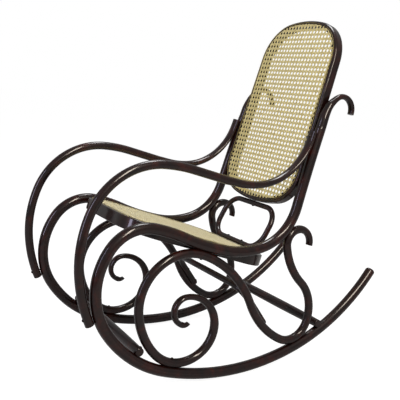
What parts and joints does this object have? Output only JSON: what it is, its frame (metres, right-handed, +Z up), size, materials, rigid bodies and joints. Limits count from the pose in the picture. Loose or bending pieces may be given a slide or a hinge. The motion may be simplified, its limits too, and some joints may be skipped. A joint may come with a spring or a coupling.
{
  "type": "bentwood rocking chair",
  "caption": "Bentwood rocking chair with looped runners, scrolled side rods, sweeping armrests and a woven cane seat and back.",
  "frame": {"origin": "on the floor, on the mid plane, under the lowest point of the two runners, where the chair stands in balance", "axes": "-Y is the way the sitter faces, +X is to the sitter's left, +Z is up"},
  "size_m": [0.509, 1.0944, 1.1094],
  "materials": {
    "stained_bentwood": "dark mahogany stain under a glossy lacquer",
    "cane": "natural pale cane, satin",
    "cane_spline": "natural pale cane, satin",
    "screw_steel": "darkened steel"
  },
  "bodies": {
    "root": {"left_rocker_loop": "stained_bentwood", "right_rocker_loop": "stained_bentwood", "left_back_post": "stained_bentwood", "right_back_post": "stained_bentwood", "left_scroll": "stained_bentwood", "right_scroll": "stained_bentwood", "left_armrest": "stained_bentwood", "right_armrest": "stained_bentwood", "back_hoop": "stained_bentwood", "back_ring": "stained_bentwood", "seat_frame": "stained_bentwood", "under_seat_brace": "stained_bentwood", "front_stretcher": "stained_bentwood", "rear_stretcher": "stained_bentwood", "back_cane": "cane", "seat_cane": "cane", "back_cane_spline": "cane_spline", "seat_cane_spline": "cane_spline", "scroll_screws": "screw_steel", "armrest_screws": "screw_steel", "stretcher_screws": "screw_steel", "brace_screws": "screw_steel", "hoop_screws": "screw_steel", "seat_screws": "screw_steel", "ring_screws": "screw_steel"}
  },
  "joints": []
}
